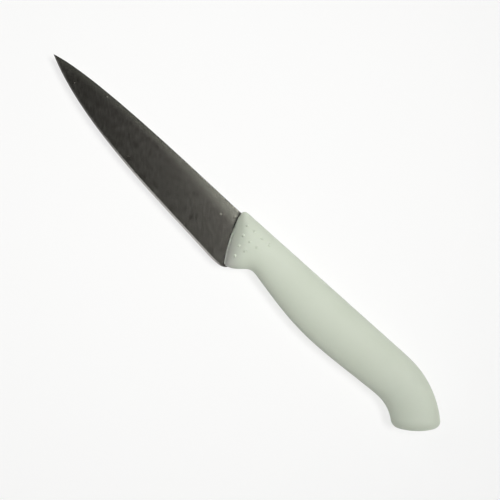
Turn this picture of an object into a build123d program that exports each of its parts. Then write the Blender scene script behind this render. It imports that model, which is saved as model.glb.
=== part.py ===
from build123d import *
import math
import os

# A paring knife: a stamped and ground steel blade, and a white plastic handle moulded round its tang.
# All lengths are millimetres. The knife is drawn with X from the tip towards the pommel, Y up from the cutting
# edge towards the back, and Z across it from its middle plane. Y is zero along the straight back of the handle.
# At the end it is laid on its side, with the origin on the surface under the middle of its length and height.

# Blade, seen from the side
blade_length = 96.3
blade_height = 20.9
tip_drop = 2.65
back_step = 1.75
heel_show = 1.15
heel_cover = 1.6
heel_length = 9.3

# Blade, its thickness and its grind
stock_thickness = 1.6
polish_depth = 0.05
grind_height = 16.2
grind_runout = 0.6
edge_thickness = 0.4
bevel_height = 0.6

# Tang, hidden in the handle
tang_length = 64.0
tang_cover = 3.7
tang_height = 8.6
tang_end_height = 6.4
tang_end_cover = 5.3
tang_end_radius = 2.6
tang_root_radius = 1.8
shoulder_radius = 0.8
shoulder_limit_share = 0.45
lock_hole_diameter = 4.6
lock_hole_count = 3

# Handle, seen from the side
handle_length = 114.5
grip_depth = 20.85
front_lean = 9.4
front_radius = 70.0
pommel_curl = 27.8
pommel_back_radius = 39.4
pommel_end_radius = 35.0
pommel_lean = 48.2
pommel_middle_shares = (0.9512, 0.919)

# Handle, its thickness, rims and seal
handle_thickness = 14.0
front_round = 1.0
corner_round = 2.6
nose_front = 1.65
nose_lean = 50.0
nose_radius = 23.5
pommel_round = 2.2
lip_height = 0.5
lip_width = 0.7
lip_root = 2.0
lip_gap = 0.15

# Raised grip dots behind the guard
dot_columns = 4
dot_diameter = 1.3
dot_height = 0.3
dot_margin = 5.5
dot_depth = 3.8
dot_column_pitch = 4.05
dot_row_pitch = 3.83
dot_narrowing = 0.3
dot_lean = 1.45

# Tools reach this far past what they cut
overrun = 5.0

# Control points of the spine and the edge between their ends, as shares of the curve's length and of its drop
spine_shares = ((0.19, 1.92), (0.785, 1.075))
edge_shares = ((0.28, 0.745), (0.73, 0.84))
heel_shares = ((0.5, 0.07), (1.07, 0.2))
heel_rise_share = 0.2

# Sections of the handle, front to pommel: place along the back and along the belly as shares of the handle's
# length, depth of the belly as a share of the guard's depth or the grip's, and thickness as a share of the
# handle's. Each section stands in a plane through its two places, so the planes fan out with the handle.
guard_section_shares = (
    (-0.046, 0.041, 1.037, 0.58),
    (-0.020, 0.062, 1.018, 0.67),
    (0.010, 0.088, 0.986, 0.79),
    (0.037, 0.111, 0.935, 0.875),
    (0.064, 0.132, 0.846, 0.915),
)
grip_section_shares = (
    (0.085, 0.150, 0.791, 0.90),
    (0.107, 0.169, 0.760, 0.88),
    (0.137, 0.193, 0.779, 0.86),
    (0.190, 0.233, 0.825, 0.865),
    (0.268, 0.294, 0.892, 0.91),
    (0.364, 0.377, 0.964, 0.97),
    (0.469, 0.469, 1.000, 1.00),
    (0.591, 0.582, 0.988, 0.99),
    (0.705, 0.683, 0.954, 0.97),
    (0.783, 0.748, 0.935, 0.955),
    (0.853, 0.792, 0.940, 0.945),
    (0.914, 0.824, 0.988, 0.94),
    (0.976, 0.851, 1.065, 0.93),
    (1.037, 0.876, 1.175, 0.93),
    (1.098, 0.901, 1.280, 0.93),
)
widest_share = 0.45
fullness_share = 0.6

half_stock = stock_thickness / 2
half_blade = half_stock - polish_depth
half_edge = edge_thickness / 2
half_handle = handle_thickness / 2
front_top = blade_length
heel_end = front_top + front_lean + heel_cover
edge_length = heel_end - heel_length
edge_depth = back_step + blade_height
guard_depth = edge_depth - heel_show
back_straight = handle_length - pommel_curl
shoulder_corner = min(shoulder_radius, (tang_cover - back_step) * shoulder_limit_share)
tang_end = heel_end + tang_length
tip = Vector(0, -back_step - tip_drop)
edge_end = Vector(edge_length, -edge_depth)


def curve_through(start, end, shares):
    """A cubic curve whose two inner control points are shares of the way from start to end."""
    run = end - start
    inner = [start + Vector(run.X * along, run.Y * across) for along, across in shares]
    return Bezier(start, *inner, end)


def spine_curve():
    """The blade's back, from the tip to the handle's front."""
    return curve_through(tip, Vector(front_top, -back_step), spine_shares)


def edge_curve():
    """The cutting edge, from the tip to the start of the heel."""
    return curve_through(tip, edge_end, edge_shares)


def blade_blank():
    """The stamped blank with its tang, left wider than the finished edge all along."""
    spare = Vector(0, -overrun)
    spine = spine_curve()
    edge = edge_curve().moved(Location(spare))
    heel_rise = blade_height * heel_rise_share
    heel_back = Vector(heel_end, heel_rise - edge_depth)
    heel_inner = [
        edge_end + Vector(heel_length * along, -heel_rise * across) for along, across in heel_shares
    ]
    heel = Bezier(edge_end, *heel_inner, heel_back)
    corners = [
        spine @ 1,
        Vector(heel_end, -back_step),
        Vector(heel_end, -tang_cover),
        Vector(tang_end, -tang_end_cover),
        Vector(tang_end, -tang_end_cover - tang_end_height),
        Vector(heel_end, -tang_cover - tang_height),
        heel_back,
    ]
    outline = [spine, heel, Line(edge_end, edge_end + spare), edge, Line(tip + spare, tip)]
    outline += [Line(a, b) for a, b in zip(corners, corners[1:])]
    face = make_face(outline).face()
    radii = [shoulder_corner] * 2 + [tang_end_radius] * 2 + [tang_root_radius]
    for place, radius in zip(corners[1:], radii):
        nearest = min(face.vertices(), key=lambda vertex: (vertex.center() - place).length)
        face = face.fillet_2d(radius, [nearest])
    return extrude(face, half_stock, both=True)


def beyond_edge():
    """A face in the middle plane that holds everything outside the cutting edge."""
    edge = edge_curve()
    way_in = edge % 0
    way_out = edge % 1
    before = tip - way_in * overrun
    after_run = heel_end + grind_runout - edge_length
    after = edge_end + way_out * (after_run / way_out.X)
    low = -edge_depth - blade_height
    loop = [
        Line(before, tip),
        edge,
        Line(edge_end, after),
        Line(after, (after.X, low)),
        Line((after.X, low), (before.X, low)),
        Line((before.X, low), before),
    ]
    return make_face(loop)


def ground_away(start, run, rise):
    """What a flat grind takes from one side: it starts at height start over the edge and climbs rise in run."""
    lean = Vector(0, run, rise)
    foot = lean * (-(start + half_edge) / rise)
    reach = lean * ((stock_thickness + half_edge) / rise)
    return extrude(Pos(foot.X, foot.Y, foot.Z + start) * beyond_edge(), reach.length, dir=lean)


def front_centre():
    """Centre of the arc that the handle's front follows beside the blade."""
    top = Vector(front_top, 0)
    chord = Vector(front_lean, -guard_depth)
    inward = Vector(guard_depth, front_lean).normalized()
    return top + chord * 0.5 + inward * math.sqrt(front_radius**2 - (chord.length / 2) ** 2)


def ahead_of_front(radius):
    """A face that holds everything ahead of the handle's front, which lies at the given radius."""
    centre = front_centre()
    ahead = Pos((centre.X - overrun) / 2, centre.Y) * Rectangle(centre.X + overrun, 2 * front_radius)
    return ahead - Pos(centre.X, centre.Y) * Circle(radius)


def polished_away():
    """What polishing takes from one side of the stock, up to the step that the seal lip meets."""
    shown = ahead_of_front(front_radius + lip_height + lip_gap)
    return Pos(0, 0, half_blade) * extrude(shown, stock_thickness)


def lock_holes():
    """Holes along the middle of the tang, which the handle's plastic fills."""
    start = Vector(heel_end, -tang_cover - tang_height / 2)
    end = Vector(tang_end, -tang_end_cover - tang_end_height / 2)
    centres = [start + (end - start) * ((i + 0.5) / lock_hole_count) for i in range(lock_hole_count)]
    return [Pos(*centre) * Cylinder(lock_hole_diameter / 2, 2 * stock_thickness) for centre in centres]


def make_blade():
    """The blade and its tang in one: polished, flat ground from both sides, then bevelled to an edge."""
    steel = blade_blank()
    flank = ground_away(half_edge, grind_height, half_blade - half_edge)
    bevel = ground_away(0, bevel_height, half_edge)
    for cut in (polished_away(), flank, bevel):
        steel -= cut
        steel -= mirror(cut, about=Plane.XY)
    return steel - lock_holes()


def back_place(share):
    """A place on the handle's back: straight at first, then round the pommel's curl."""
    along = handle_length * share
    if along <= back_straight:
        return Vector(front_top + along, 0)
    turn = (along - back_straight) / pommel_back_radius
    return Vector(
        front_top + back_straight + pommel_back_radius * math.sin(turn),
        -pommel_back_radius * (1 - math.cos(turn)),
    )


def handle_section(back, belly, half_width):
    """An egg-shaped section between a place on the back and one on the belly, as four joined curves."""
    widest = back + (belly - back) * widest_share
    side = Vector(0, 0, half_width)
    up = (back - widest) * fullness_share
    down = (belly - widest) * fullness_share
    out = side * fullness_share
    near, far = widest + side, widest - side
    return Face(Wire([
        Bezier(back, back + out, near + up, near),
        Bezier(near, near + down, belly + out, belly),
        Bezier(belly, belly - out, far + down, far),
        Bezier(far, far + up, back - out, back),
    ]))


def handle_form():
    """The handle's long body as one smooth loft, drawn past both ends."""
    sections = []
    for depth, rows in ((guard_depth, guard_section_shares), (grip_depth, grip_section_shares)):
        for back_share, belly_share, depth_share, thickness_share in rows:
            belly = Vector(front_top + handle_length * belly_share, -depth * depth_share)
            sections.append(handle_section(back_place(back_share), belly, half_handle * thickness_share))
    return loft(sections)


def past_end():
    """A face that holds everything past the pommel's gently crowned end."""
    along, down = pommel_middle_shares
    lean = math.radians(pommel_lean)
    middle = Vector(front_top + handle_length * along, -grip_depth * down)
    centre = middle - Vector(math.cos(lean), -math.sin(lean)) * pommel_end_radius
    size = 2 * handle_length
    past = Pos(centre.X + size / 2, centre.Y) * Rectangle(size, size)
    return past - Pos(centre.X, centre.Y) * Circle(pommel_end_radius)


def corner_away():
    """What rounds the handle's top front corner, seen from the side: all outside a circle that touches both."""
    centre = front_centre()
    inner = front_radius - corner_round
    middle = Vector(centre.X - math.sqrt(inner**2 - (corner_round + centre.Y) ** 2), -corner_round)
    up = Vector(0, corner_round + overrun)
    out = (middle - centre).normalized() * (corner_round + overrun)
    corner = make_face(Polyline(middle, middle + up, middle + up + out, middle + out, close=True))
    return extrude(corner - Pos(*middle) * Circle(corner_round), handle_thickness, both=True)


def nose_away():
    """What the nose's crowned bevel takes from one side of the handle: it climbs from just over the seal lip."""
    centre = front_centre()
    lean = math.radians(nose_lean)
    apex = front_radius - nose_radius * math.sin(lean)
    crown_middle = nose_front - nose_radius * math.cos(lean)
    ahead = front_radius + overrun
    high = nose_front + nose_radius
    outline = Pos(-(apex + ahead) / 2, (nose_front + high) / 2) * Rectangle(ahead - apex, high - nose_front)
    outline -= Pos(-apex, crown_middle) * Circle(nose_radius)
    axis = Axis((centre.X, centre.Y, 0), (0, 0, 1))
    return revolve(Pos(centre.X, centre.Y) * Plane.XZ * outline, axis, 90)


def seal_lip():
    """The thin lip of plastic that stands proud of the handle's front and hugs the blade."""
    centre = front_centre()
    at = Pos(centre.X, centre.Y)
    band = at * Circle(front_radius + lip_height) - at * Circle(front_radius - lip_root)
    top = -corner_round - lip_height
    low = -guard_depth + front_round + lip_height
    window = Pos(front_top, (top + low) / 2) * Rectangle(handle_length / 2, top - low)
    return extrude(band & window, half_stock + lip_width, both=True)


def grip_dots(body):
    """Shallow domes behind the guard on both sides: a triangle of columns, each one dot shorter."""
    radius = dot_diameter / 2
    ball_radius = (radius**2 + dot_height**2) / (2 * dot_height)
    ball = Rot(X=90) * Sphere(ball_radius)
    dots = []
    for column in range(dot_columns):
        depth = dot_depth + dot_column_pitch * column
        first = front_top + dot_margin + dot_lean * column
        for row in range(dot_columns - column):
            x = first + (dot_row_pitch - dot_narrowing * column) * row
            for side in (1, -1):
                hit = body.find_intersection_points(Axis((x, -depth, 0), (0, 0, side)))
                point, normal = max(hit, key=lambda pair: pair[0].Z * side)
                centre = point + normal.normalized() * (dot_height - ball_radius)
                dots.append(Pos(*centre) * ball)
    return dots


def make_handle(blade):
    """The moulded handle: body, rounded rims, nose, seal lip and dots, with the tang's room left in it."""
    body = handle_form()
    for face in (ahead_of_front(front_radius), past_end()):
        body -= extrude(face, handle_thickness, both=True)
    for end, radius in ((0, front_round), (-1, pommel_round)):
        rim = body.faces().filter_by(GeomType.CYLINDER).sort_by(Axis.X)[end].edges()
        body = fillet(rim, radius)
    nose = nose_away()
    body -= corner_away()
    body -= nose
    body -= mirror(nose, about=Plane.XY)
    body += [seal_lip(), *grip_dots(body)]
    return body - blade


def main():
    os.makedirs("parts", exist_ok=True)
    blade = make_blade()
    handle = make_handle(blade)
    whole = blade.bounding_box().add(handle.bounding_box())
    laid = Pos(-whole.center().X, -whole.center().Y, -whole.min.Z)
    for name, piece in (("blade", blade), ("handle", handle)):
        export_step(laid * piece, f"parts/{name}.step")


main()
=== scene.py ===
import math

import bpy
import numpy as np
from mathutils import Matrix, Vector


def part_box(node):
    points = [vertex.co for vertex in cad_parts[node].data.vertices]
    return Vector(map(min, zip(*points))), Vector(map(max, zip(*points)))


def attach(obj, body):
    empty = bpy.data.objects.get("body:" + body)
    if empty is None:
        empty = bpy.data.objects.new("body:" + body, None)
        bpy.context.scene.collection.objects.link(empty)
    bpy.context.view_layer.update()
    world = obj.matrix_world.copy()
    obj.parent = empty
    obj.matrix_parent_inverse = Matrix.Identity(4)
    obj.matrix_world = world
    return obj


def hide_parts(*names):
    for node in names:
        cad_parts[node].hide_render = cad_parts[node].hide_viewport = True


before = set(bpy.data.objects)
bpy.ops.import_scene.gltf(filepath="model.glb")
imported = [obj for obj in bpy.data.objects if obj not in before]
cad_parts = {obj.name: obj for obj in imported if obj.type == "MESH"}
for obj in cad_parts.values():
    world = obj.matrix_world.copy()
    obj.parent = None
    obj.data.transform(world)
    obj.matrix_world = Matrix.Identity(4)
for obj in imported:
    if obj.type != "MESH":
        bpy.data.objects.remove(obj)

bl_info = {
    "name": "Paring knife",
    "version": (1, 0, 0),
    "blender": (4, 5, 0),
    "location": "3D View > Sidebar > Knife",
    "description": "Dresses the packed paring knife: ground blade, moulded handle, seal lip and grip dots",
    "category": "Object",
}

MM = 0.001
BODY = "root"
STEEL_SLOT = "blade_steel"
PLASTIC_SLOT = "handle_plastic"
HEIGHT_MARK = "height_over_edge"
BELOW_MARK = "below_back"
AHEAD_MARK = "ahead_of_handle"
FRONT_SHADE_MARK = "painted_front_shade"

# A colour mix's sockets share their names and go by number: its share, the two colours and the result
MIX_SHARE, MIX_UNDER, MIX_OVER, MIX_RESULT = 0, 6, 7, 2

# The knife is worked out lying on its side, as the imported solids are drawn: X runs from the tip towards the
# pommel, Y up from the edge towards the back, with zero along the handle's straight back, and Z across the
# knife from its middle plane. Every shape below is in millimetres, and knife_place() moves it to where the
# solids lie.

# The four control points of each of the blade's curves
SPINE = ((0.0, -4.4), (18.297, 0.688), (75.596, -1.551), (96.3, -1.75))
EDGE = ((0.0, -4.4), (27.44, -17.996), (71.54, -19.73), (98.0, -22.65))
HEEL = ((98.0, -22.65), (102.65, -22.943), (107.951, -23.486), (107.3, -18.47))

# The tang inside the handle: where it starts and ends, its top and its bottom at both, and its rounded end
TANG_START = 107.3
TANG_END = 171.3
TANG_TOP = (-3.7, -5.3)
TANG_BOTTOM = (-12.3, -11.7)
TANG_ROUND = 2.6

# The handle's front: an arc from the back to the guard's depth
FRONT_TOP = 96.3
FRONT_LEAN = 9.4
FRONT_RADIUS = 70.0
GUARD_DEPTH = 21.5

# The handle's back runs straight, then curls over the pommel, whose end is an arc too
HANDLE_LENGTH = 114.5
POMMEL_CURL = 27.8
POMMEL_BACK_RADIUS = 39.4
POMMEL_MIDDLE = (205.212, -19.161)
POMMEL_LEAN = 48.2
POMMEL_RADIUS = 35.0

# Rows along the handle: place on the back and on the belly as shares of its length, the belly's depth and
# half the thickness in millimetres
ROWS = np.array([
    (-0.046, 0.041, 22.30, 4.060),
    (-0.020, 0.062, 21.89, 4.690),
    (0.010, 0.088, 21.20, 5.530),
    (0.037, 0.111, 20.10, 6.125),
    (0.064, 0.132, 18.19, 6.405),
    (0.085, 0.150, 16.49, 6.300),
    (0.107, 0.169, 15.85, 6.160),
    (0.137, 0.193, 16.24, 6.020),
    (0.190, 0.233, 17.20, 6.055),
    (0.268, 0.294, 18.60, 6.370),
    (0.364, 0.377, 20.10, 6.790),
    (0.469, 0.469, 20.85, 7.000),
    (0.591, 0.582, 20.60, 6.930),
    (0.705, 0.683, 19.89, 6.790),
    (0.783, 0.748, 19.50, 6.685),
    (0.853, 0.792, 19.60, 6.615),
    (0.914, 0.824, 20.60, 6.580),
    (0.976, 0.851, 22.21, 6.510),
    (1.037, 0.876, 24.50, 6.510),
    (1.098, 0.901, 26.69, 6.510),
])
# The section's widest place as a share of the way to the belly, and how full its quarters are
WIDEST = 0.45
FULLNESS = 0.6

# Depths below the back between which the seal lip grows to its full height, and its share of it before that
LIP_FADE = (4.5, 13.0)
LIP_LEAST = 0.2
# How far the lip's ends stop short of the front's rounding at the back and of the guard's foot
LIP_END_GAPS = (0.45, 0.5)
# Share of the groove's width in which its wall drops from the nose to the floor
GROOVE_WALL_SHARE = 0.4

# Painted shade on the plastic near the handle's front, over the nose and the seal lip beside the blade: how
# far behind the front it reaches, and the depths below the back between which it sets in, deepening towards
# the guard's foot
FRONT_SHADE_REACH = 7.0
FRONT_SHADE_DEPTHS = (5.0, 21.0)

# Grip dots: the first one's place behind the handle's front and below its back, and the steps of the triangle
DOT_COLUMNS = 4
DOT_MARGIN = 5.5
DOT_DEPTH = 3.8
DOT_COLUMN_PITCH = 4.05
DOT_ROW_PITCH = 3.83
DOT_NARROWING = 0.3
DOT_LEAN = 1.45
# How deep the two rings of a dot's foot reach into the plastic
DOT_FOOT = (0.15, 0.35)

# How finely the surfaces are drawn. The free blade's rings crowd towards the tip and start a little behind it
CURVE_STEPS = 2000
HALVINGS = 45
TIP_START = 0.04
TIP_CROWDING = 1.3
FREE_RINGS, HEEL_RINGS, TANG_RINGS, TANG_END_RINGS = 240, 30, 20, 8
# The heel's rings and the tang's keep off the places where they meet their neighbours
HEEL_MARGIN, SHOULDER_STEP = 0.3, 0.05
# The turns of the tang's rounded end that its rings span, in radians
TANG_END_TURNS = (0.2, 1.5)
# Rows of points near the edge as shares of the bevel's height, and the blade height that they need at least
EDGE_ROW_SHARES = (0, 0.25, 0.5, 0.75, 0.95, 1.11, 1.25, 1.5)
EDGE_ROOM = 2.2
FLANK_ROWS, CORNER_ROWS = 60, 7
# The back's rounding is at most these shares of the blade's height and of half its thickness
ROUND_HEIGHT_SHARE, ROUND_HALF_SHARE = 0.1, 0.98
HANDLE_SIDES, RIM_RINGS, BODY_RINGS = 144, 16, 200
# The body's rings crowd towards the front, and those of the end faces lie at these shares of the way out
FRONT_CROWDING = 1.4
CAP_SHARES = np.linspace(0.08, 0.92, 7)
LIP_RINGS, LIP_CORNER_STEPS = 80, 7
DOT_SIDES = 20
DOT_RING_SHARES = np.linspace(0.1, 1, 7)

# Softboxes: name, place along the knife that it points at in metres, tilt from overhead and turn about it in
# degrees, distance, width and length in metres, spread of the beam in degrees, watts
SOFTBOXES = (
    ("softbox_key", -0.05, 22, 42, 1.0, 0.3, 0.3, 40, 0.49),
    ("softbox_belly", 0.0, 38, -100, 1.0, 0.25, 0.3, 180, 0.17),
    ("softbox_nose", 0.0, 50, 180, 1.0, 0.4, 0.4, 180, 0.75),
)
# Brightness of the surrounding light by the height of its direction, from 0 at the horizon to 1 overhead
SKY = ((0.0, 0.02), (0.5, 0.2), (0.85, 0.07), (1.0, 0.02))
# Half the floor's side, and the nearest and farthest that the camera sees, in metres
FLOOR_HALF = 6.0
NEAREST, FARTHEST = 0.01, 50.0

# What the camera sees: the middle of its picture on the drawn knife, the picture's side and the camera's turn
VIEW_MIDDLE = (109.09, -10.27)
VIEW_SIDE = 500 / 2.54
VIEW_TURN = 41.84


def linear(text):
    """An sRGB hex colour as linear red, green and blue, and an alpha of 1."""
    parts = np.array([int(text[i:i + 2], 16) for i in (1, 3, 5)]) / 255
    return *np.where(parts > 0.04045, ((parts + 0.055) / 1.055) ** 2.4, parts / 12.92), 1.0


def length(name, value, description):
    """A length that a user may change, given in millimetres."""
    return bpy.props.FloatProperty(
        name=name, description=description, default=value * MM, min=0, precision=5, unit="LENGTH",
        subtype="DISTANCE",
    )


def colour(name, value, description):
    """A colour that a user may change, given as sRGB hex."""
    return bpy.props.FloatVectorProperty(
        name=name, description=description, default=linear(value), min=0, max=1, size=4, subtype="COLOR",
    )


def cubic(points, t):
    """A cubic Bezier curve: its four points weighted by the products of t and 1 - t."""
    t = np.asarray(t, float)[..., None]
    s = 1 - t
    a, b, c, d = np.moveaxis(np.asarray(points, float), -2, 0)
    return s ** 3 * a + 3 * s * s * t * b + 3 * s * t * t * c + t ** 3 * d


def height_on(points, x):
    """Height of a cubic curve over a place along the knife, read from the curve at even steps."""
    way = cubic(points, np.linspace(0, 1, CURVE_STEPS + 1))
    return np.interp(x, way[:, 0], way[:, 1])


def smooth_least(a, b, blend):
    """The lower of two values, with the corner between them rounded off over the blend."""
    near = np.maximum(blend - np.abs(a - b), 0) / blend
    return np.minimum(a, b) - near * near * blend / 4


def eased(share):
    """A share held between 0 and 1 that starts and ends gently."""
    share = np.clip(share, 0, 1)
    return share * share * (3 - 2 * share)


def unit(v):
    """Each vector divided by its length."""
    return v / np.linalg.norm(v, axis=-1, keepdims=True)


def spline(places, values):
    """A curve through the values that bends evenly: cubic pieces whose slopes and bends agree where they
    join, with no bend at the ends. Returns a function of the place, for whole arrays."""
    gaps = np.diff(places)
    slopes = np.diff(values) / gaps
    count = len(places)
    system = np.eye(count)
    wanted = np.zeros(count)
    inner = np.arange(1, count - 1)
    system[inner, inner - 1] = gaps[:-1]
    system[inner, inner] = 2 * (gaps[:-1] + gaps[1:])
    system[inner, inner + 1] = gaps[1:]
    wanted[inner] = 6 * np.diff(slopes)
    bends = np.linalg.solve(system, wanted)

    def value_at(w):
        i = np.clip(np.searchsorted(places, w) - 1, 0, count - 2)
        gap, before, after = gaps[i], w - places[i], places[i + 1] - w
        ends = (values[i] * after + values[i + 1] * before) / gap
        bend = bends[i] * (after ** 3 / gap - gap * after)
        bend = bend + bends[i + 1] * (before ** 3 / gap - gap * before)
        return ends + bend / 6

    return value_at


def skin(name, grids, place, marks=()):
    """Closed shells, one for each grid of points in millimetres. A grid is rings along its first axis, each
    joined to the next, with the first and the last ring filled from its middle. The faces are turned to make
    the shells' volume positive, which is outwards. Place moves the points into the knife's frame. Marks are
    named lengths that a single shell's points keep as attributes, in metres."""
    shells, rings, around, _ = grids.shape
    each = rings * around + 2
    ends = np.stack([grids[:, 0].mean(1), grids[:, -1].mean(1)], axis=1)
    points = np.concatenate([grids.reshape(shells, -1, 3), ends], axis=1).reshape(-1, 3)
    ring, step = np.meshgrid(np.arange(rings - 1) * around, np.arange(around), indexing="ij")
    onward = (step + 1) % around
    above = ring + around
    quads = np.stack([ring + step, ring + onward, above + onward, above + step], axis=-1).reshape(-1, 4)
    step, onward = step[0], onward[0]
    last = (rings - 1) * around
    low = np.stack([onward, step, np.full(around, each - 2)], axis=-1)
    high = np.stack([step + last, onward + last, np.full(around, each - 1)], axis=-1)
    start = np.arange(shells)[:, None, None] * each
    quads = (quads + start).reshape(-1, 4)
    fans = (np.concatenate([low, high]) + start).reshape(-1, 3)
    halves = np.concatenate([quads[:, :3], quads[:, (0, 2, 3)], fans])
    a, b, c = np.moveaxis(points[halves] - points.mean(0), 1, 0)
    if (a * np.cross(b, c)).sum() < 0:
        quads, fans = quads[:, ::-1], fans[:, ::-1]
    mesh = bpy.data.meshes.new(name)
    mesh.from_pydata(((points + place) * MM).tolist(), [], quads.tolist() + fans.tolist())
    mesh.shade_smooth()
    for mark, lengths in dict(marks).items():
        closed = np.concatenate([lengths.reshape(-1), lengths[[0, -1]].mean(1)])
        mesh.attributes.new(mark, "FLOAT", "POINT").data.foreach_set("value", closed * MM)
    mesh.update()
    piece = bpy.data.objects.new(name, mesh)
    bpy.context.scene.collection.objects.link(piece)
    return piece


def set_on_knife(piece, slot, material, *nodes):
    """Gives a piece its finish and its body, and hides what it stands for. The slot is not used."""
    piece.data.materials.append(material)
    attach(piece, BODY)
    if nodes:
        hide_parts(*nodes)


def knife_place():
    """What moves the worked-out knife to where the solids lie: tip on tip, back on back, middle on middle."""
    low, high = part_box("blade")
    crest = cubic(SPINE, np.linspace(0, 1, CURVE_STEPS + 1))[:, 1].max()
    return np.array([low.x / MM, high.y / MM - crest, (low.z + high.z) / 2 / MM])


def front_centre():
    """Centre of the arc of the handle's front: square to the middle of its chord, behind it."""
    chord = np.array([FRONT_LEAN, -GUARD_DEPTH])
    middle = np.array([FRONT_TOP, 0]) + chord / 2
    inward = np.array([GUARD_DEPTH, FRONT_LEAN]) / np.linalg.norm(chord)
    return middle + inward * math.sqrt(FRONT_RADIUS ** 2 - (chord @ chord) / 4)


def ahead_of_front(grid):
    """How far each point stands ahead of the arc of the handle's front."""
    return np.linalg.norm(grid[..., :2] - front_centre(), axis=-1) - FRONT_RADIUS


def pommel_centre():
    """Centre of the arc of the pommel's end: one radius in from its middle, square to the end."""
    lean = math.radians(POMMEL_LEAN)
    return np.array(POMMEL_MIDDLE) - np.array([math.cos(lean), -math.sin(lean)]) * POMMEL_RADIUS


def blade_outline():
    """Places along the knife where the blade is cut across, and its edge and its back there: the free blade,
    the heel beside the guard, and the tang, whose end is rounded. Also how many of the places lie ahead of
    the tang."""
    heel = EDGE[-1][0]
    free = TIP_START + np.linspace(0, 1, FREE_RINGS) ** TIP_CROWDING * (heel - TIP_START)
    shown = np.concatenate([free, np.linspace(heel + HEEL_MARGIN, TANG_START - HEEL_MARGIN, HEEL_RINGS)])
    low = np.where(shown <= heel, height_on(EDGE, shown), height_on(HEEL, shown))
    high = np.where(shown <= FRONT_TOP, height_on(SPINE, shown), SPINE[-1][1])
    turn = np.linspace(*TANG_END_TURNS, TANG_END_RINGS)
    hidden = np.concatenate([
        [TANG_START], np.linspace(TANG_START + SHOULDER_STEP, TANG_END - TANG_ROUND, TANG_RINGS),
        TANG_END - TANG_ROUND * (1 - np.sin(turn)),
    ])
    past = np.maximum(hidden - TANG_END + TANG_ROUND, 0)
    inset = TANG_ROUND - np.sqrt(TANG_ROUND ** 2 - past ** 2)
    span = (TANG_START, TANG_END)
    tang_low = np.interp(hidden, span, TANG_BOTTOM) + inset
    tang_high = np.interp(hidden, span, TANG_TOP) - inset
    tang_low[0], tang_high[0] = HEEL[-1][1], SPINE[-1][1]
    x = np.concatenate([shown, hidden])
    return x, np.concatenate([low, tang_low]), np.concatenate([high, tang_high]), len(shown)


def blade_grid(sizes):
    """The blade as rings across it, with each point's height over the edge and its depth below the back. A
    ring stands over one place along the knife and runs from the edge up one side, over the back and down the
    other. Half the thickness is the least of the bevel, the flat grind and the polished stock, each a
    straight line in the height over the edge, with the corner between grind and stock softened, and it rounds
    off at the back. Inside the handle the rings shrink to the tang, which keeps the full stock and ends in
    two rounded corners."""
    x, low, high, free = blade_outline()
    tall = (high - low)[:, None]
    honed = sizes.bevel_height / MM
    near_edge = honed * np.array(EDGE_ROW_SHARES)
    edge_rows = np.minimum(near_edge, tall * near_edge / EDGE_ROOM)
    bend = np.linspace(0, math.pi / 2, CORNER_ROWS)
    corner = np.minimum(sizes.back_round / MM, tall * ROUND_HEIGHT_SHARE)
    back_rows = tall - corner * (1 - np.sin(bend))
    share = np.linspace(0, 1, FLANK_ROWS + 2)[1:-1]
    flank_rows = edge_rows[:, -1:] + (back_rows[:, :1] - edge_rows[:, -1:]) * share
    rows = np.concatenate([edge_rows, flank_rows, back_rows], axis=1)
    half_edge, half_stock = sizes.half_edge / MM, sizes.half_stock / MM
    grind = half_edge + rows * (half_stock - half_edge) / (sizes.grind_height / MM)
    half = smooth_least(grind, np.full(rows.shape, half_stock), sizes.grind_blend / MM)
    half = np.minimum(half, rows * half_edge / honed)
    half[free:] = half_stock
    rounded = half[:, -CORNER_ROWS:]
    rounded -= np.minimum(corner, rounded * ROUND_HALF_SHARE) * (1 - np.cos(bend))
    near = np.stack([np.broadcast_to(x[:, None], rows.shape), low[:, None] + rows, half], axis=-1)
    far = near[:, -1:0:-1] * (1, 1, -1)
    heights = np.concatenate([rows, rows[:, -1:0:-1]], axis=1)
    return np.concatenate([near, far], axis=1), heights, tall - heights


def handle_body():
    """Lines along the handle, each a function of the place along it: the back, which runs straight and then
    round an arc, the belly and half the thickness, which are splines of the rows. Also the rows' own
    places."""
    places = ROWS[:, :2].mean(axis=1)
    back, belly, depth, half = (spline(places, column) for column in ROWS.T)
    straight = HANDLE_LENGTH - POMMEL_CURL

    def back_at(w):
        along = HANDLE_LENGTH * back(w)
        turn = np.maximum(along - straight, 0) / POMMEL_BACK_RADIUS
        x = np.minimum(along, straight) + POMMEL_BACK_RADIUS * np.sin(turn)
        return np.stack([FRONT_TOP + x, POMMEL_BACK_RADIUS * (np.cos(turn) - 1)], axis=-1)

    def belly_at(w):
        return np.stack([FRONT_TOP + HANDLE_LENGTH * belly(w), -depth(w)], axis=-1)

    return back_at, belly_at, half, places


def section(v):
    """Egg-shaped section, once round for v from 0 to 1 from the back: share of the way to the belly, and
    share of the half thickness. Each quarter is a cubic curve."""
    lower = 1 - WIDEST
    quarters = np.array([
        [(0, 0), (0, FULLNESS), (WIDEST - WIDEST * FULLNESS, 1), (WIDEST, 1)],
        [(WIDEST, 1), (WIDEST + lower * FULLNESS, 1), (1, FULLNESS), (1, 0)],
    ])
    quarters = np.concatenate([quarters, quarters[::-1, ::-1] * (1, -1)])
    which = np.minimum((v * 4).astype(int), 3)
    return cubic(quarters[which], v * 4 - which)


def on_handle(w, v):
    """Point of the handle's body at a place along it and a share of the way round: from the back towards the
    belly by the section's one share, and out from the middle plane by its other."""
    back_at, belly_at, half, _ = handle_body()
    shares = section(v)
    back, belly = back_at(w), belly_at(w)
    flat = back + (belly - back) * shares[..., :1]
    return np.concatenate([flat, (half(w) * shares[..., 1])[..., None]], axis=-1)


def found_between(low, high, test):
    """The place between low and high where the test turns from negative to positive, by halving the span."""
    for _ in range(HALVINGS):
        middle = (low + high) / 2
        past = test(middle) > 0
        low, high = np.where(past, low, middle), np.where(past, middle, high)
    return (low + high) / 2


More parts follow.
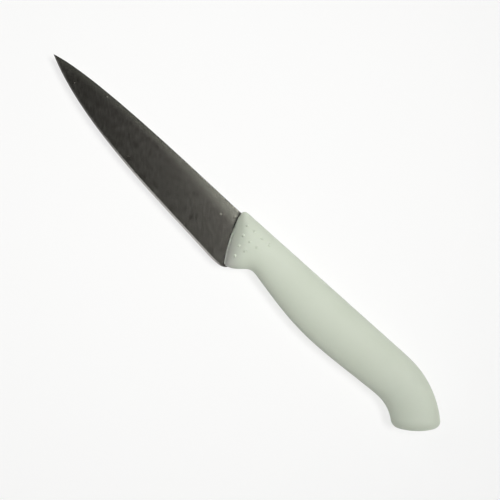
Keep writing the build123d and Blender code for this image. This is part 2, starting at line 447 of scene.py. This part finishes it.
def ring_behind(v, depth, centre, radius, low, high, sign):
    """The ring where the body lies at the given depth behind an end's arc: the places along the handle, the
    points and their inward direction in the surface that runs parallel to the end."""
    def test(w):
        return sign * (radius - depth - np.linalg.norm(on_handle(w, v)[..., :2] - centre, axis=-1))

    w = found_between(np.full(v.shape, low), np.full(v.shape, high), test)
    points = on_handle(w, v)
    tiny = 1e-4
    along = on_handle(w + tiny, v) - points
    around = on_handle(w, (v + tiny) % 1) - points
    normal = unit(np.cross(along, around))
    out = unit(np.concatenate([points[..., :2] - centre, np.zeros(points[..., :1].shape)], axis=-1))
    inward = unit(normal - (normal * out).sum(-1, keepdims=True) * out)
    middle = (on_handle(w, np.zeros(v.shape)) + on_handle(w, np.full(v.shape, 0.5))) / 2
    facing = ((middle - points) * inward).sum(-1, keepdims=True)
    return w, points, inward * np.sign(facing)


def lip_share(depth):
    """Share of its full height that the seal lip has grown to at a depth below the handle's back."""
    return eased((depth - LIP_FADE[0]) / (LIP_FADE[1] - LIP_FADE[0]))


def front_shade_marks(grid):
    """The painted shade near the handle's front: how far each point lies ahead of where the shade ends behind
    the front, times the share that its depth below the handle's back gives."""
    start, full = FRONT_SHADE_DEPTHS
    return {FRONT_SHADE_MARK: (FRONT_SHADE_REACH + ahead_of_front(grid)) * eased((-grid[..., 1] - start) / (full - start))}


def nose_limit(sizes, points):
    """Brings points ahead of the nose's top down to its bevel. At a radius from the centre of the front's
    arc, the bevel stands as high as a circle of the nose's radius, whose slope at the front is the nose's
    lean, and close to the front it drops to the groove behind the seal lip. The corner to the handle's side
    is blended off."""
    radius, lean = sizes.nose_radius / MM, sizes.nose_lean
    ahead = ahead_of_front(points)
    past = np.clip(ahead + radius * math.sin(lean), 0, radius)
    high = sizes.nose_front / MM - radius * math.cos(lean) + np.sqrt(radius ** 2 - past ** 2)
    grown = lip_share(-points[..., 1])
    width = (sizes.gap_width + (sizes.groove_width - sizes.gap_width) * grown) / MM
    dropped = eased((ahead + width) / (GROOVE_WALL_SHARE * width))
    high = high + (sizes.groove_floor / MM - high) * dropped
    side = points[..., 2]
    held = np.sign(side) * smooth_least(np.abs(side), high, np.minimum(sizes.nose_blend / MM, high))
    limited = points.copy()
    limited[..., 2] = np.where(past > 0, held, side)
    return limited


def handle_rings(sizes):
    """The handle's whole surface as rings: the front face grows from its middle, turns over the bevelled
    nose, runs along the body, turns over the pommel's rim and closes over the crowned end. Each rim is a
    quarter ellipse. The front's grows smaller from the back to the guard's foot, and the pommel's is longer
    on the sides than at the back and the belly."""
    v = np.arange(HANDLE_SIDES) / HANDLE_SIDES
    sides = section(v)[:, 1] ** 2
    belly = eased(section(v)[:, 0])
    places = handle_body()[3]
    midway = 0.5
    turn = np.linspace(0, math.pi / 2, RIM_RINGS)[:, None]

    def rim(centre, radius, low, high, sign, depth, inset):
        w, points, inward = ring_behind(
            np.broadcast_to(v, (RIM_RINGS, HANDLE_SIDES)), depth * (1 - np.cos(turn)), centre, radius,
            low, high, sign)
        return w, points + inward * (inset * (1 - np.sin(turn)))[..., None]

    def cap(ring, centre, radius):
        angle = np.unwrap(np.arctan2(ring[:, 1] - centre[1], ring[:, 0] - centre[0]))
        share = CAP_SHARES[:, None]
        mean = (angle.max() + angle.min()) / 2
        turned = mean + (angle - mean) * share
        return np.stack([
            centre[0] + radius * np.cos(turned), centre[1] + radius * np.sin(turned), ring[:, 2] * share,
        ], axis=-1)

    front, pommel = front_centre(), pommel_centre()
    nose = (sizes.rim_round + (sizes.guard_round - sizes.rim_round) * belly) / MM
    toe = (sizes.pommel_round + (sizes.pommel_length - sizes.pommel_round) * sides) / MM
    toe_sink = sizes.pommel_round / MM
    first_w, first = rim(front, FRONT_RADIUS, places[0], midway, 1, nose, nose)
    last_w, last = rim(pommel, POMMEL_RADIUS, midway, places[-1], -1, toe, toe_sink)
    way = np.linspace(0, 1, BODY_RINGS + 2)[1:-1, None] ** FRONT_CROWDING
    body = on_handle(
        first_w[-1] + (last_w[-1] - first_w[-1]) * way, np.broadcast_to(v, (BODY_RINGS, HANDLE_SIDES)))
    first, body = nose_limit(sizes, first), nose_limit(sizes, body)
    return np.concatenate([
        cap(first[0], front, FRONT_RADIUS), first, body, last[::-1],
        cap(last[0], pommel, POMMEL_RADIUS)[::-1],
    ])


def lip_grid(sizes):
    """The seal lip: a bar with rounded outer corners, carried along the arc of the handle's front. A point of
    its profile stands at a radius from the arc's centre and at a distance from the middle plane. What stands
    out of the front shrinks towards the back."""
    centre = front_centre()
    proud, side, corner = sizes.lip_height / MM, sizes.lip_side / MM, sizes.lip_round / MM
    root = sizes.lip_root / MM
    turn = np.linspace(0, math.pi / 2, LIP_CORNER_STEPS)
    far = np.stack([proud - corner + corner * np.sin(turn), side - corner + corner * np.cos(turn)], axis=-1)
    profile = np.concatenate([[(-root, -side), (-root, side)], far, far[::-1] * (1, -1)])
    top, foot = LIP_END_GAPS
    ends = np.array([-(sizes.rim_round / MM + top), -(GUARD_DEPTH - foot)])
    angle = np.linspace(*np.arcsin((centre[1] - ends) / FRONT_RADIUS), LIP_RINGS)[:, None]
    grown = LIP_LEAST + (1 - LIP_LEAST) * lip_share(FRONT_RADIUS * np.sin(angle) - centre[1])
    out = profile[:, 0]
    radius = FRONT_RADIUS + np.where(out > 0, out * grown, out)
    x = centre[0] - radius * np.cos(angle)
    y = centre[1] - radius * np.sin(angle)
    return np.stack([x, y, np.broadcast_to(profile[:, 1], x.shape)], axis=-1)


def dot_places():
    """Places of the grip dots on one side: a triangle of columns, each one dot shorter than the last."""
    column, row = np.meshgrid(np.arange(DOT_COLUMNS), np.arange(DOT_COLUMNS), indexing="ij")
    x = FRONT_TOP + DOT_MARGIN + DOT_LEAN * column + (DOT_ROW_PITCH - DOT_NARROWING * column) * row
    y = -(DOT_DEPTH + DOT_COLUMN_PITCH * column)
    return np.stack([x, y], axis=-1)[row < DOT_COLUMNS - column]


def dot_grids(sizes, feet, normals):
    """Domes on the handle's skin, one for each foot and normal. A dome is a cap of a ball on a foot that
    reaches into the plastic. It is turned from the normal and two directions square to it."""
    radius, height = sizes.dot_diameter / 2 / MM, sizes.dot_height / MM
    ball = (radius ** 2 + height ** 2) / (2 * height)
    reach = DOT_RING_SHARES * math.asin(radius / ball)
    out = np.concatenate([ball * np.sin(reach), np.full(len(DOT_FOOT), radius)])
    up = np.concatenate([height - ball * (1 - np.cos(reach)), -np.array(DOT_FOOT)])
    turn = np.linspace(0, math.tau, DOT_SIDES, endpoint=False)
    across = unit(np.cross(normals, (0.0, 1.0, 0.0)))
    along = np.cross(normals, across)
    flat = np.cos(turn)[:, None] * across[:, None, None] + np.sin(turn)[:, None] * along[:, None, None]
    return feet[:, None, None] + out[:, None, None] * flat + up[:, None, None] * normals[:, None, None]


def add(tree, kind, inputs=(), **settings):
    """Adds a node. Settings are its own properties, and inputs gives each socket a value, another node, which
    stands for its first output, or one of its outputs."""
    made = tree.nodes.new(kind)
    for name, value in settings.items():
        setattr(made, name, value)
    for key, value in dict(inputs).items():
        if isinstance(value, bpy.types.Node):
            value = value.outputs[0]
        if isinstance(value, bpy.types.NodeSocket):
            tree.links.new(value, made.inputs[key])
        else:
            made.inputs[key].default_value = value
    return made


def new_material(name):
    """An empty material and its tree."""
    material = bpy.data.materials.new(name)
    material.use_nodes = True
    material.node_tree.nodes.clear()
    return material, material.node_tree


def polypropylene_moulded(finish):
    """White polypropylene, injection moulded in a finely blasted mould: a soft, even sheen."""
    material, tree = new_material("polypropylene_moulded")
    coords = add(tree, "ShaderNodeTexCoord").outputs["Object"]
    # Thick and thin plastic cools unevenly, which leaves it cloudy over a centimetre or so
    cloud = add(tree, "ShaderNodeTexNoise", {"Vector": coords, "Scale": 1 / (14 * MM), "Detail": 3.0})
    # Painted shade: near the front, over the nose and the lip beside the blade, the plastic is painted
    # greyer, deepening towards the guard's foot
    thin = add(tree, "ShaderNodeAttribute", attribute_name=FRONT_SHADE_MARK).outputs["Fac"]
    grey = add(tree, "ShaderNodeMapRange", {"Value": thin, "From Max": FRONT_SHADE_REACH * MM})
    tone = finish.plastic
    for share, over in ((cloud, finish.plastic_shade), (grey, finish.plastic_front_shade)):
        mix = add(tree, "ShaderNodeMix", {
            MIX_SHARE: share, MIX_UNDER: tone, MIX_OVER: over,
        }, data_type="RGBA")
        tone = mix.outputs[MIX_RESULT]
    # The mould's blasted skin has a grain of about 0.1 mm, drawn at 0.35 mm so that it shows
    grain = add(tree, "ShaderNodeTexNoise", {"Vector": coords, "Scale": 1 / (0.35 * MM), "Detail": 2.0})
    # Hands have worn the sheen unevenly
    worn = add(tree, "ShaderNodeTexNoise", {"Vector": coords, "Scale": 1 / (6 * MM), "Detail": 4.0})
    shader = add(tree, "ShaderNodeBsdfPrincipled", {
        "Base Color": tone,
        "Roughness": add(tree, "ShaderNodeMapRange", {"Value": worn, "To Min": 0.52, "To Max": 0.64}),
        "Normal": add(tree, "ShaderNodeBump", {"Height": grain, "Strength": 0.08, "Distance": 0.05 * MM}),
        "IOR": 1.49,
        "Specular IOR Level": 0.35,
    })
    add(tree, "ShaderNodeOutputMaterial", {"Surface": shader})
    return material


def steel_ground(finish):
    """Stainless knife steel, belt ground across the flanks, which look dark with faint lines. The band along
    the back is polished and brighter, and towards the tip narrows to a strip. The honed bevel is painted the
    brightest, a painted highlight. The stamped back is dull and painted darker, a painted shade over its
    corners' reflections, and the steel right beside the handle near the back is painted dark, a painted
    shadow of the handle. Each of these lies where its spans say: a span rises from none to full between two
    values of what it looks at, and the spans are multiplied."""
    material, tree = new_material("stainless_steel_ground")
    coords = add(tree, "ShaderNodeTexCoord").outputs["Object"]
    height, below, ahead = (
        add(tree, "ShaderNodeAttribute", attribute_name=mark).outputs["Fac"]
        for mark in (HEIGHT_MARK, BELOW_MARK, AHEAD_MARK))
    # Grinding lines of a 240 grit belt lie 0.05 mm apart, drawn 0.6 mm apart and 3 mm long so that they show
    turned = add(tree, "ShaderNodeMapping", {"Vector": coords, "Rotation": (0, 0, math.radians(-38))})
    stretched = add(tree, "ShaderNodeMapping", {
        "Vector": turned, "Scale": (1 / (0.6 * MM), 1 / (3 * MM), 1.0),
    })
    lines = add(tree, "ShaderNodeTexNoise", {"Vector": stretched, "Scale": 1.0, "Detail": 2.0})
    # Nicks and specks of a quarter millimetre lie in a few of these cells, one in two square centimetres
    cells = add(
        tree, "ShaderNodeTexVoronoi", {"Vector": coords, "Scale": 1 / (7 * MM)}, voronoi_dimensions="2D")
    chosen = add(tree, "ShaderNodeSeparateColor", {0: cells.outputs["Color"]})
    # The most that there is of each, and its spans
    spans = {
        "line": (1.0, (lines, 0.3, 0.7)),
        "speck": (1.0, (cells, 0.05, 0.02), (chosen, 0.72, 0.76)),
        # The polish runs out softly over the top of the grind, and towards the tip it narrows to a strip
        "polish": (1.0, (height, 14 * MM, 19 * MM)),
        "strip": (1.0, (below, 3.2 * MM, 0.5 * MM), (height, 20 * MM, 14 * MM)),
        # The stamped back is dull and painted darker: a painted shade over its rounded corners' reflections
        # of the bright floor
        "stamped": (0.8, (below, 0.45 * MM, 0.25 * MM)),
        # Near the back, the steel within the last millimetre beside the plastic is painted dark: a painted
        # shadow of the handle's front on the blade
        "shadow_beside_plastic": (1.0, (ahead, 1.0 * MM, 0.7 * MM), (below, 9 * MM, 5 * MM)),
        # The honed bevel is painted as a bright thin line along the edge, a painted highlight, and its
        # outermost sliver is left out, where it turns away from the light
        "honed": (1.0, (height, 0.66 * MM, 0.56 * MM), (height, 0.24 * MM, 0.34 * MM)),
        "near_edge": (1.0, (height, 12 * MM, 7 * MM)),
    }
    shares = {}
    for name, (share, *each) in spans.items():
        for value, none, full in each:
            share = add(tree, "ShaderNodeMapRange", {
                "Value": value, "From Min": none, "From Max": full, "To Max": share,
            })
        shares[name] = share
    tone = finish.steel
    # Colours laid over the steel one by one: the honed line is a painted highlight, and the dull colour on
    # the back and beside the handle is painted shade
    for name, over in (
        ("line", finish.steel_shade), ("polish", finish.polish), ("strip", finish.polish),
        ("stamped", finish.dull_and_painted_shade), ("shadow_beside_plastic", finish.dull_and_painted_shade), ("honed", finish.honed),
    ):
        mix = add(tree, "ShaderNodeMix", {
            MIX_SHARE: shares[name], MIX_UNDER: tone, MIX_OVER: over,
        }, data_type="RGBA")
        tone = mix.outputs[MIX_RESULT]
    rough = add(tree, "ShaderNodeMapRange", {"Value": shares["line"], "To Min": 0.222, "To Max": 0.203})
    # The finer belt near the edge leaves it smoother and so a little darker, and specks scatter the light
    for name, rise in (("near_edge", -0.007), ("strip", 0.02), ("speck", 0.1)):
        rough = add(tree, "ShaderNodeMath", {0: shares[name], 1: rise, 2: rough}, operation="MULTIPLY_ADD")
    shader = add(tree, "ShaderNodeBsdfPrincipled", {
        "Base Color": tone,
        "Metallic": 1.0,
        "Roughness": rough,
        "Normal": add(tree, "ShaderNodeBump", {
            "Height": shares["line"], "Strength": 0.8, "Distance": 0.008 * MM,
        }),
    })
    add(tree, "ShaderNodeOutputMaterial", {"Surface": shader})
    return material


def pale_card():
    """Plain matt white card under the knife, with a glow of its own that keeps its shadows weak."""
    material, tree = new_material("matt_card")
    shader = add(tree, "ShaderNodeBsdfPrincipled", {
        "Base Color": linear("#878785"),
        "Roughness": 0.9,
        "Specular IOR Level": 0.0,
        "Emission Color": (1, 1, 1, 1),
        "Emission Strength": 0.75,
    })
    add(tree, "ShaderNodeOutputMaterial", {"Surface": shader})
    return material


class BladeSizes(bpy.types.PropertyGroup):
    """Sizes of the blade's grind and edges."""
    grind_height: length("Grind height", 16.2, "How far the flat grind climbs over the cutting edge")
    half_stock: length("Half thickness", 0.75, "Half the thickness of the polished steel")
    half_edge: length("Half edge", 0.2, "Half the thickness where the bevel starts")
    bevel_height: length("Bevel height", 0.6, "Height of the honed bevel")
    grind_blend: length("Grind blend", 0.08, "How softly the grind runs out into the flat")
    back_round: length("Back rounding", 0.2, "Radius of the corners along the back")


class HandleSizes(bpy.types.PropertyGroup):
    """Sizes of the handle's rims, its seal lip and its dots."""
    rim_round: length("Rim rounding", 2.6, "Rounding of the front rim at the back")
    guard_round: length("Guard rounding", 0.6, "Rounding of the front rim at the foot of the guard")
    nose_front: length("Nose height", 1.65, "Distance of the nose's bevel from the middle plane at the front")
    nose_radius: length("Nose radius", 23.5, "Radius of the nose's crowned bevel")
    nose_lean: bpy.props.FloatProperty(
        name="Nose lean", description="Slope of the nose's bevel at the front", default=math.radians(50),
        min=0, max=math.radians(80), subtype="ANGLE")
    nose_blend: length("Nose blend", 1.2, "How softly the bevel runs out into the handle's side")
    groove_width: length("Groove width", 0.55, "Width of the groove between the nose and the seal lip")
    groove_floor: length("Groove floor", 0.95, "Distance of the groove's floor from the middle plane")
    gap_width: length("Gap width", 0.12, "The groove's width near the back, where the lip is thin")
    pommel_round: length("Pommel rounding", 2.2, "Rounding of the pommel's rim")
    pommel_length: length("Pommel nose", 4.0, "How far before the end the sides start to turn in")
    lip_height: length("Lip height", 0.34, "How far the seal lip stands out of the front")
    lip_side: length("Lip side", 1.5, "Distance of the seal lip's sides from the middle plane")
    lip_round: length("Lip rounding", 0.3, "Rounding of the seal lip's outer corners")
    lip_root: length("Lip root", 0.1, "How far the seal lip reaches into the handle")
    dot_diameter: length("Dot diameter", 1.35, "Diameter of a grip dot")
    dot_height: length("Dot height", 0.36, "Height of a grip dot")


class Finishes(bpy.types.PropertyGroup):
    """Colours of the knife's two materials."""
    steel: colour("Steel", "#B8B6AD", "Colour of the ground steel")
    steel_shade: colour("Steel shade", "#858177", "Colour of the ground steel in its darker lines")
    polish: colour("Polished steel", "#BDBDAF", "Colour of the polished band along the back")
    # A painted highlight: much brighter than the steel, for the bright line along the edge
    honed: colour("Honed steel", "#EAE9E4", "Colour of the honed bevel")
    # Painted shade: the dull dark colour of the stamped back and the painted shadow beside the handle
    dull_and_painted_shade: colour("Unpolished steel", "#62605A", "Colour of the back and of the steel beside the handle")
    plastic: colour("Plastic", "#D8DFCF", "Colour of the moulded plastic")
    plastic_shade: colour("Plastic shade", "#D1D9C7", "Colour of the plastic where it is a little darker")
    # Painted shade for the plastic near the handle's front, on the nose and the seal lip
    plastic_front_shade: colour("Thin plastic", "#B8B8B2", "Colour of the plastic where it is thin over the steel")


class StageSizes(bpy.types.PropertyGroup):
    """Light and camera."""
    lens: bpy.props.FloatProperty(
        name="Lens", description="Focal length of the camera in millimetres", default=100, min=10)
    fill: bpy.props.FloatProperty(
        name="Surrounding light", description="Strength of the light from all round", default=0.85, min=0)
    key: bpy.props.FloatProperty(
        name="Softboxes", description="Strength of all the softboxes together", default=1.0, min=0)


class KNIFE_OT_stage(bpy.types.Operator):
    """Sets the floor, the lights and the camera"""
    bl_idname = "knife.stage"
    bl_label = "Stage"

    def execute(self, context):
        scene = context.scene
        settings = scene.knife_stage
        scene.view_settings.view_transform = "Standard"
        side = FLOOR_HALF
        mesh = bpy.data.meshes.new("floor")
        mesh.from_pydata(
            [(-side, -side, 0), (side, -side, 0), (side, side, 0), (-side, side, 0)], [], [(0, 1, 2, 3)])
        floor = bpy.data.objects.new("floor", mesh)
        scene.collection.objects.link(floor)
        floor.data.materials.append(pale_card())

        world = bpy.data.worlds.new("studio")
        world.use_nodes = True
        tree = world.node_tree
        tree.nodes.clear()
        way = add(tree, "ShaderNodeTexCoord").outputs["Generated"]
        parts = add(tree, "ShaderNodeSeparateXYZ", {0: way})
        ramp = add(tree, "ShaderNodeValToRGB", {0: parts.outputs["Z"]})
        stops = ramp.color_ramp.elements
        for place, _ in SKY[1:-1]:
            stops.new(place)
        for stop, (_, value) in zip(stops, SKY):
            stop.color = (value, value, value, 1)
        glow = add(tree, "ShaderNodeBackground", {"Color": ramp, "Strength": settings.fill})
        add(tree, "ShaderNodeOutputWorld", {0: glow})
        scene.world = world

        for name, aim, tilt, turn, far, wide, tall, spread, power in SOFTBOXES:
            lamp = bpy.data.lights.new(name, "AREA")
            lamp.shape = "RECTANGLE"
            lamp.size, lamp.size_y = wide, tall
            lamp.spread = math.radians(spread)
            lamp.energy = power * settings.key
            softbox = bpy.data.objects.new(name, lamp)
            scene.collection.objects.link(softbox)
            place = Matrix.Rotation(math.radians(turn), 4, "Z") @ Matrix.Rotation(math.radians(tilt), 4, "Y")
            softbox.matrix_world = (
                Matrix.Translation((aim, 0, 0)) @ place @ Matrix.Translation((0, 0, far)))

        view = bpy.data.cameras.new("camera")
        view.lens = settings.lens
        view.dof.use_dof = False
        view.clip_start, view.clip_end = NEAREST, FARTHEST
        camera = bpy.data.objects.new("camera", view)
        scene.collection.objects.link(camera)
        far = VIEW_SIDE * MM * view.lens / view.sensor_width
        x, y, z = (knife_place() + (*VIEW_MIDDLE, 0)) * MM
        turn = Matrix.Rotation(math.radians(VIEW_TURN), 4, "Z")
        camera.matrix_world = Matrix.Translation((x, y, z + far)) @ turn
        scene.camera = camera
        return {"FINISHED"}


class KNIFE_OT_blade(bpy.types.Operator):
    """Makes the ground blade with its tang"""
    bl_idname = "knife.blade"
    bl_label = "Blade"

    def execute(self, context):
        scene = context.scene
        grid, heights, depths = blade_grid(scene.knife_blade)
        marks = {HEIGHT_MARK: heights, BELOW_MARK: depths, AHEAD_MARK: ahead_of_front(grid)}
        piece = skin("ground_blade", grid[None], knife_place(), marks)
        set_on_knife(piece, STEEL_SLOT, steel_ground(scene.knife_finish), "blade")
        return {"FINISHED"}


class KNIFE_OT_handle(bpy.types.Operator):
    """Makes the moulded handle"""
    bl_idname = "knife.handle"
    bl_label = "Handle"

    def execute(self, context):
        scene = context.scene
        rings = handle_rings(scene.knife_handle)
        piece = skin("moulded_handle", rings[None], knife_place(), front_shade_marks(rings))
        set_on_knife(piece, PLASTIC_SLOT, polypropylene_moulded(scene.knife_finish), "handle")
        return {"FINISHED"}


class KNIFE_OT_lip(bpy.types.Operator):
    """Makes the thin lip that seals the handle's front to the blade"""
    bl_idname = "knife.lip"
    bl_label = "Seal lip"

    def execute(self, context):
        rings = lip_grid(context.scene.knife_handle)
        piece = skin("seal_lip", rings[None], knife_place(), front_shade_marks(rings))
        set_on_knife(piece, PLASTIC_SLOT, bpy.data.materials["polypropylene_moulded"])
        return {"FINISHED"}


class KNIFE_OT_dots(bpy.types.Operator):
    """Makes the raised grip dots on both sides of the handle, which has to be there"""
    bl_idname = "knife.dots"
    bl_label = "Grip dots"

    def execute(self, context):
        scene = context.scene
        handle = scene.objects["moulded_handle"]
        place = knife_place()
        context.view_layer.update()
        hits = []
        for x, y in dot_places():
            above = (place + (x, y, HANDLE_LENGTH)) * MM
            found, point, normal, _ = handle.ray_cast(above, (0, 0, -1))
            if not found:
                raise RuntimeError(f"no plastic under the dot at {x:.1f}, {y:.1f}")
            hits.append((*point, *normal))
        hits = np.array(hits)
        feet, normals = hits[:, :3] / MM - place, hits[:, 3:]
        mirrored = (1, 1, -1)
        grids = dot_grids(
            scene.knife_handle, np.concatenate([feet, feet * mirrored]),
            np.concatenate([normals, normals * mirrored]))
        piece = skin("grip_dots", grids, place)
        set_on_knife(piece, PLASTIC_SLOT, bpy.data.materials["polypropylene_moulded"])
        return {"FINISHED"}


class KNIFE_PT_panel(bpy.types.Panel):
    """The knife's sizes, colours and makers, in the sidebar"""
    bl_label = "Paring knife"
    bl_idname = "KNIFE_PT_panel"
    bl_space_type = "VIEW_3D"
    bl_region_type = "UI"
    bl_category = "Knife"

    def draw(self, context):
        for name in SETTINGS:
            box = self.layout.box()
            group = getattr(context.scene, name)
            for item in group.bl_rna.properties.keys():
                if item not in ("rna_type", "name"):
                    box.prop(group, item)
        for maker in MAKERS:
            self.layout.operator(maker.bl_idname)


SETTINGS = {
    "knife_blade": BladeSizes,
    "knife_handle": HandleSizes,
    "knife_finish": Finishes,
    "knife_stage": StageSizes,
}
MAKERS = (KNIFE_OT_stage, KNIFE_OT_blade, KNIFE_OT_handle, KNIFE_OT_lip, KNIFE_OT_dots)
CLASSES = (*SETTINGS.values(), *MAKERS, KNIFE_PT_panel)


def register():
    """Registers the classes and hangs the settings on the scene."""
    for item in CLASSES:
        bpy.utils.register_class(item)
    for name, group in SETTINGS.items():
        setattr(bpy.types.Scene, name, bpy.props.PointerProperty(type=group))


def unregister():
    """Takes the settings and the classes away again."""
    for name in SETTINGS:
        delattr(bpy.types.Scene, name)
    for item in reversed(CLASSES):
        bpy.utils.unregister_class(item)


def main():
    """Registers the classes and runs the makers in order; the solids that they stand for stay, hidden."""
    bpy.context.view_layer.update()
    register()
    bpy.ops.knife.stage()
    bpy.ops.knife.blade()
    bpy.ops.knife.handle()
    bpy.ops.knife.lip()
    bpy.ops.knife.dots()


if __name__ == "__main__":
    main()
